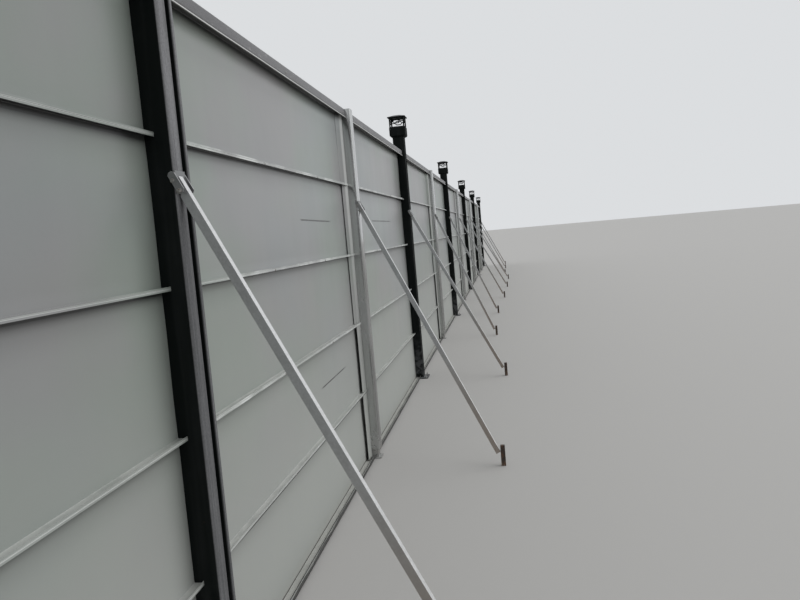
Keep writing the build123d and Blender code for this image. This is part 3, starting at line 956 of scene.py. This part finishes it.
def bottom_track():
    """The tracks of all bays. Their sides wave, more the higher a point is."""
    half = TRACK_WALL / 2
    low, high = track_low[2] + half, track_high[2]
    back, front = track_high[1] - half, track_low[1] + half
    corners = [(back, high), (back, low), (front, low), (front, high)]
    line = divided(rounded(corners, [0, TRACK_FOLD, TRACK_FOLD, 0], steps=3), longest=0.02)
    track = Shape()
    for number in range(1, BAY_COUNT + 1):
        for stretch, (start, end) in enumerate(runs(number)):
            stations = np.linspace(start, end, TRACK_SECTIONS)
            points, faces = folded_sheet(line, TRACK_WALL, stations, 0)
            draw = np.random.default_rng(TRACK_SEED + 2 * number + stretch)
            wave = edge_wave(points, start, end, np.arange(3, 15), TRACK_WAVE, draw)
            points[:, 1] += wave * np.clip((points[:, 2] - low) / (high - low), 0, 1)
            track.add(points, faces)
    track.make("standing_tracks", "grey_paint", BOARD, "bottom_channels", smooth=40)


# Hardware: profiles of radius and height pairs
HEX_HEAD = [(0.0062, 0.0), (0.0065, 0.0003), (0.0065, 0.0046), (0.0058, 0.0055)]
WASHER = [(0.0085, 0.0), (0.0085, 0.0012), (0.0082, 0.0015)]
ROUND_HEAD = [(0.0055, 0.0), (0.0052, 0.0012), (0.0038, 0.0026), (0.0018, 0.0032)]
ANCHOR_STUD = [(0.0055, -0.002), (0.0055, 0.024), (0.0045, 0.026)]


def scaled(profile, factor):
    return [(radius * factor, height * factor) for radius, height in profile]


def bolt_at(target, place, towards, factor=1.0):
    """A hexagon head over its washer, seated at a place and facing a direction."""
    place = np.array(place, float)
    lift = np.array(towards) * WASHER[-1][1] * factor
    at_places(target, turned(scaled(WASHER, factor), sides=20), [place], towards)
    at_places(target, turned(scaled(HEX_HEAD, factor), sides=6), [place + lift], towards)


def anchors():
    """Studs with a nut and a washer in the four holes of every base plate."""
    studs = Shape()
    for x in main_x:
        for side_x in (-1, 1):
            for side_y in (-1, 1):
                place = (x + side_x * ANCHOR_SPACING / 2, side_y * ANCHOR_SPACING / 2, plate_top)
                bolt_at(studs, place, (0, 0, 1), factor=1.5)
                at_places(studs, turned(ANCHOR_STUD, sides=16), [place], (0, 0, 1))
    studs.make("anchor_studs", "galvanised_steel", BOLT, smooth=35)


def saddles():
    """Both ends of every saddle in X, past its ears, with the Y of its post's front face."""
    on_main = [(x - post_half, SADDLE_WIDTH_ON_MAIN, post_front) for x in main_x]
    on_mid = [(x - mid_half, 2 * mid_half, mid_front) for x in mid_x]
    plate = SADDLE_PLATE
    return [(near - plate, near + width + plate, front) for near, width, front in on_main + on_mid]


def saddle_bolts():
    """The long bolt through each saddle's ears and brace, and the screw that holds its near ear."""
    bolts = Shape()
    for start, end, front in saddles():
        pin_y = front - PIN_REACH
        bolt_at(bolts, (start, pin_y, PIN_HEIGHT), (-1, 0, 0), factor=1.1)
        bolt_at(bolts, (end, pin_y, PIN_HEIGHT), (1, 0, 0), factor=1.1)
        shank = [(PIN_RADIUS, 0.0), (PIN_RADIUS, end - start + PIN_PAST_SADDLE)]
        at_places(bolts, turned(shank, sides=14), [(start, pin_y, PIN_HEIGHT)], (1, 0, 0))
        screw = (start, front + SADDLE_SCREW_BEHIND_FRONT, SADDLE_SCREW_HEIGHT)
        bolt_at(bolts, screw, (-1, 0, 0), factor=0.9)
    bolts.make("saddle_bolts", "galvanised_steel", BOLT, smooth=35)


def rib_screws():
    """Screws through the lower lip of every rib, one and two steps from each main post."""
    screws = Shape()
    dome = turned(ROUND_HEAD, sides=12)
    front = sheet_front - RIB_DEPTH
    levels = [board_bottom + board_pitch * rib - RIB_LIP / 2 for rib in range(1, BOARD_COUNT)]
    for number in range(1, BAY_COUNT + 1):
        (start, _), (_, end) = runs(number)
        from_start = [start + RIB_SCREW_STEP * step for step in (1, 2)]
        from_end = [end - RIB_SCREW_STEP * step for step in (1, 2)]
        places = [(x, front, level) for x in from_start + from_end for level in levels]
        at_places(screws, dome, places, (0, -1, 0))
    screws.make("rib_screws", "galvanised_steel", BOLT, smooth=35)


def rail_screws():
    """Round-headed screws near both ends and in the middle of every stretch of rail."""
    screws = Shape()
    dome = turned(ROUND_HEAD, sides=12)
    level = (rail_low[2] + rail_high[2]) / 2
    places = []
    for number in range(1, BAY_COUNT + 1):
        for start, end in runs(number):
            along = (start + RAIL_SCREW_INSET, (start + end) / 2, end - RAIL_SCREW_INSET)
            places += [(x, rail_front, level) for x in along]
    at_places(screws, dome, places, (0, -1, 0))
    screws.make("rail_screws", "galvanised_steel", BOLT, smooth=35)


def foot_bolts():
    """Two bolts that hold each intermediate post's plate to the ground."""
    bolts = Shape()
    for low, high in row_boxes("intermediate_feet"):
        centre = (low + high) / 2
        for side_x in (-1, 1):
            place = (centre[0] + side_x * FOOT_BOLT_REACH, centre[1], plate_top)
            bolt_at(bolts, place, (0, 0, 1), factor=0.9)
    bolts.make("foot_bolts", "galvanised_steel", BOLT, smooth=35)


def bead(corners):
    """A weld bead round a closed line: a tube whose radius swells and shrinks by a sine of the length.

    The last ring's faces take their far corners from the first ring."""
    line = divided(np.concatenate([corners, corners[:1]]), longest=WELD_STEP)[:-1]
    run = np.roll(line, -1, axis=0) - np.roll(line, 1, axis=0)
    run /= np.linalg.norm(run, axis=1)[:, None]
    outward = np.stack([run[:, 1], -run[:, 0], np.zeros(len(run))], axis=1)
    rows, sides = len(line), 8
    angle = np.linspace(0, 2 * math.pi, sides, endpoint=False)
    size = WELD_RADIUS * (1 + 0.16 * np.sin(np.arange(rows) * 2.4))[:, None, None]
    up = np.array([0, 0, 1.0])
    ring = outward[:, None] * np.cos(angle)[None, :, None] + up * np.sin(angle)[None, :, None]
    points = (line[:, None] + size * ring).reshape(-1, 3)
    return points, grid_faces(rows + 1, sides) % (rows * sides)


def post_welds():
    welds = Shape()
    for x in main_x:
        left, right = x - post_half, x + post_half
        corners = [(left, post_front), (left, post_back), (right, post_back), (right, post_front)]
        welds.add(*bead(np.array([(*corner, plate_top) for corner in corners])))
    welds.make("post_welds", "black_paint", BLACK, smooth=60)


for number, x in enumerate(main_x, start=1):
    main_post(number, x)
for number, x in enumerate(mid_x, start=1):
    mid_post(number, x)
for number in range(1, BAY_COUNT + 1):
    top_rail(number)
    wall_panel(number, "a", 2 * number)
    wall_panel(number, "b", 2 * number + 1)
bottom_track()
anchors()
saddle_bolts()
rib_screws()
rail_screws()
foot_bolts()
post_welds()
for node, radius in EDGE_RADII.items():
    soften(node, radius)


# Floor and lights: a pale floor, an even sky and a soft key light, whose angles are in degrees
FLOOR_REACH = 400.0
FLOOR_TONE = (0.44, 0.43, 0.415)
SKY_TONE = (0.88, 0.90, 0.92, 1)
SKY_STRENGTH = 0.81
KEY_STRENGTH = 1.3
KEY_SPREAD = 70
KEY_TILT = 55
KEY_TURN = 8


def floor():
    reach = FLOOR_REACH
    corners = [(-reach, -reach, 0), (reach, -reach, 0), (reach, reach, 0), (-reach, reach, 0)]
    mesh = bpy.data.meshes.new("floor")
    mesh.from_pydata(corners, [], [(0, 1, 2, 3)])
    plane = bpy.data.objects.new("floor", mesh)
    bpy.context.scene.collection.objects.link(plane)
    plane.data.materials.append(Finish("floor_card", FLOOR_TONE, 0.9).material)


def lights():
    world = bpy.data.worlds.new("soft_sky")
    world.use_nodes = True
    sky = world.node_tree.nodes["Background"]
    sky.inputs["Color"].default_value = SKY_TONE
    sky.inputs["Strength"].default_value = SKY_STRENGTH
    bpy.context.scene.world = world
    sun = bpy.data.lights.new("key", "SUN")
    sun.energy = KEY_STRENGTH
    sun.angle = math.radians(KEY_SPREAD)
    key = bpy.data.objects.new("key", sun)
    key.rotation_euler = (math.radians(KEY_TILT), 0, math.radians(KEY_TURN))
    bpy.context.scene.collection.objects.link(key)


# The camera stands beside the fence and looks along it, as fitted to the photo
IMAGE_WIDTH_PX = 800
CAMERA_FOCAL_PX = 768.5
CAMERA_PLACE = (-14.4024, sheet_front - 1.1115, 1.5931)
CAMERA_YAW = 0.1450
CAMERA_PITCH = -0.0840
CAMERA_ROLL = -0.0867


def camera():
    data = bpy.data.cameras.new("camera")
    data.sensor_width = 36.0
    data.lens = CAMERA_FOCAL_PX * data.sensor_width / IMAGE_WIDTH_PX
    data.clip_end = FLOOR_REACH + 100
    eye = bpy.data.objects.new("camera", data)
    bpy.context.scene.collection.objects.link(eye)
    ahead = Vector((math.cos(CAMERA_PITCH) * math.cos(CAMERA_YAW),
                    math.cos(CAMERA_PITCH) * math.sin(CAMERA_YAW),
                    math.sin(CAMERA_PITCH)))
    level = ahead.cross(Vector((0, 0, 1))).normalized()
    above = level.cross(ahead)
    right = math.cos(CAMERA_ROLL) * level + math.sin(CAMERA_ROLL) * above
    up = -math.sin(CAMERA_ROLL) * level + math.cos(CAMERA_ROLL) * above
    turn = Matrix((right, up, -ahead)).transposed()
    eye.matrix_world = Matrix.Translation(CAMERA_PLACE) @ turn.to_4x4()
    bpy.context.scene.camera = eye


floor()
lights()
camera()
bpy.context.scene.view_settings.view_transform = "Standard"
